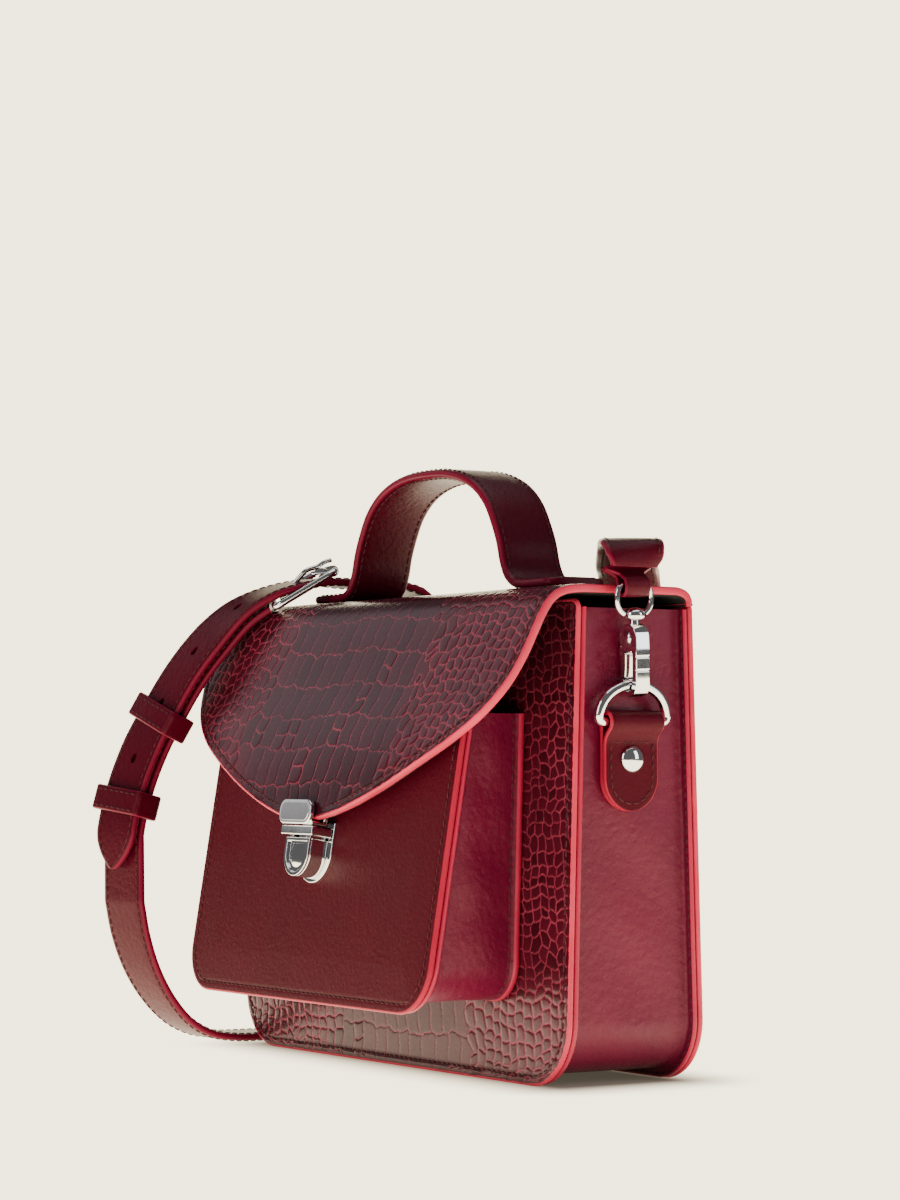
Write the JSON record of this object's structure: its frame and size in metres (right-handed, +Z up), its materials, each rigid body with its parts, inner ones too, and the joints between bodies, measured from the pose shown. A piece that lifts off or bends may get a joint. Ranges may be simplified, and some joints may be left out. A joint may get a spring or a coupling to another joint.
{
  "type": "satchel bag",
  "caption": "Small structured satchel with a round flap, front pocket, press lock, top handle and a removable buckled shoulder strap.",
  "frame": {"origin": "on the floor, under the middle of the bag's own box, shoulder strap and hooks apart", "axes": "+Z up, front of the bag faces -Y, +X across the bag towards the side whose ring stands up"},
  "size_m": [0.2279, 0.1965, 0.197],
  "materials": {
    "back_panel": "embossed, glossy",
    "buckle_frame": "polished",
    "buckle_prong": "polished",
    "buckle_roller": "polished",
    "d_ring_left": "polished",
    "d_ring_right": "polished",
    "flap_lining": "matt black",
    "flap_panel": "embossed, glossy",
    "front_panel": "embossed, glossy",
    "gate_pin_left": "polished",
    "gate_pin_right": "polished",
    "handle_strap": "satin, fine grain",
    "hook_body_left": "polished",
    "hook_body_right": "polished",
    "hook_collar_left": "polished",
    "hook_collar_right": "polished",
    "hook_eye_left": "polished",
    "hook_eye_right": "polished",
    "hook_gate_left": "polished",
    "hook_gate_right": "polished",
    "keeper_lower": "satin, fine grain",
    "keeper_upper": "satin, fine grain",
    "lock_base_plate": "polished",
    "lock_cap": "polished",
    "lock_housing": "polished",
    "lock_slider": "polished",
    "lock_spring": "polished",
    "lock_tongue": "polished",
    "main_gusset": "satin, fine grain",
    "main_lining": "matt black",
    "pocket_front": "satin, fine grain",
    "pocket_gusset": "satin, fine grain",
    "pocket_lining": "matt black",
    "ring_tab_left": "satin, fine grain",
    "ring_tab_right": "satin, fine grain",
    "strap_long": "satin, fine grain",
    "strap_short": "satin, fine grain",
    "strap_tongue_left": "satin, fine grain",
    "strap_tongue_right": "satin, fine grain",
    "tab_rivet_left": "polished",
    "tab_rivet_right": "polished"
  },
  "bodies": {
    "root": {"back_panel": "back_panel", "front_panel": "front_panel", "keeper_lower": "keeper_lower", "keeper_upper": "keeper_upper", "lock_base_plate": "lock_base_plate", "lock_housing": "lock_housing", "lock_spring": "lock_spring", "main_gusset": "main_gusset", "main_lining": "main_lining", "pocket_front": "pocket_front", "pocket_gusset": "pocket_gusset", "pocket_lining": "pocket_lining", "ring_tab_left": "ring_tab_left", "ring_tab_right": "ring_tab_right", "strap_long": "strap_long", "strap_short": "strap_short", "strap_tongue_left": "strap_tongue_left", "strap_tongue_right": "strap_tongue_right", "tab_rivet_left": "tab_rivet_left", "tab_rivet_right": "tab_rivet_right"},
    "flap": {"flap_panel": "flap_panel", "flap_lining": "flap_lining", "handle_strap": "handle_strap", "lock_cap": "lock_cap", "lock_tongue": "lock_tongue", "buckle_frame": "buckle_frame"},
    "press_bar": {"lock_slider": "lock_slider"},
    "buckle_prong": {"buckle_prong": "buckle_prong"},
    "buckle_roller": {"buckle_roller": "buckle_roller"},
    "ring_right": {"d_ring_right": "d_ring_right"},
    "hook_right": {"hook_body_right": "hook_body_right", "gate_pin_right": "gate_pin_right"},
    "gate_right": {"hook_gate_right": "hook_gate_right"},
    "eye_right": {"hook_collar_right": "hook_collar_right", "hook_eye_right": "hook_eye_right"},
    "ring_left": {"d_ring_left": "d_ring_left"},
    "hook_left": {"hook_body_left": "hook_body_left", "gate_pin_left": "gate_pin_left"},
    "gate_left": {"hook_gate_left": "hook_gate_left"},
    "eye_left": {"hook_collar_left": "hook_collar_left", "hook_eye_left": "hook_eye_left"}
  },
  "joints": [
    {"name": "flap_hinge", "type": "hinge", "parent": "root", "child": "flap", "pos_m": [0.00242, 0.04123, 0.1479], "axis": [-1, 0, 0], "range_deg": [0, 115], "deforming": ["strap_long", "strap_short", "strap_tongue_right", "strap_tongue_left", "keeper_upper", "keeper_lower"]},
    {"name": "lock_press", "type": "slide", "parent": "root", "child": "press_bar", "axis": [0, -0.164, -0.9865], "range_m": [0, 0.0006], "stiffness_N_per_m": 300, "deforming": ["lock_spring"]},
    {"name": "buckle_prong_hinge", "type": "hinge", "parent": "flap", "child": "buckle_prong", "pos_m": [-0.07462, -0.00915, 0.15584], "axis": [0.9338, -0.3382, -0.1169], "range_deg": [0, 50]},
    {"name": "buckle_roller_spin", "type": "hinge", "parent": "flap", "child": "buckle_roller", "pos_m": [-0.06625, 0.00996, 0.16627], "axis": [-0.968, 0.2501, 0.0186], "continuous": true},
    {"name": "ring_right_swing", "type": "hinge", "parent": "root", "child": "ring_right", "pos_m": [0.10272, 0.01738, 0.112], "axis": [0, 1, 0], "range_deg": [0, 25]},
    {"name": "hook_right_tilt", "type": "hinge", "parent": "ring_right", "child": "hook_right", "pos_m": [0.10394, 0.01738, 0.12359], "axis": [0, 1, 0], "range_deg": [0, 8]},
    {"name": "gate_right_press", "type": "hinge", "parent": "hook_right", "child": "gate_right", "pos_m": [0.10487, 0.01666, 0.13794], "axis": [0, -0.9988, -0.0499], "range_deg": [0, 4], "stiffness_Nm_per_rad": 0.01},
    {"name": "eye_right_swivel", "type": "hinge", "parent": "hook_right", "child": "eye_right", "pos_m": [0.10523, 0.01638, 0.14352], "axis": [0.0648, -0.0498, 0.9967], "range_deg": [-20, 20]},
    {"name": "ring_left_swing", "type": "hinge", "parent": "root", "child": "ring_left", "pos_m": [-0.09788, 0.01738, 0.112], "axis": [0, 1, 0], "range_deg": [0, 25]},
    {"name": "hook_left_tilt", "type": "hinge", "parent": "ring_left", "child": "hook_left", "pos_m": [-0.10473, 0.01738, 0.10257], "axis": [0, 1, 0], "range_deg": [-8, 8]},
    {"name": "gate_left_press", "type": "hinge", "parent": "hook_left", "child": "gate_left", "pos_m": [-0.10487, 0.01738, 0.08818], "axis": [0, 1, 0], "range_deg": [0, 2], "stiffness_Nm_per_rad": 0.01},
    {"name": "eye_left_swivel", "type": "hinge", "parent": "hook_left", "child": "eye_left", "pos_m": [-0.10493, 0.01738, 0.08258], "axis": [-0.01, 0, -0.9999], "range_deg": [-20, 20]}
  ]
}
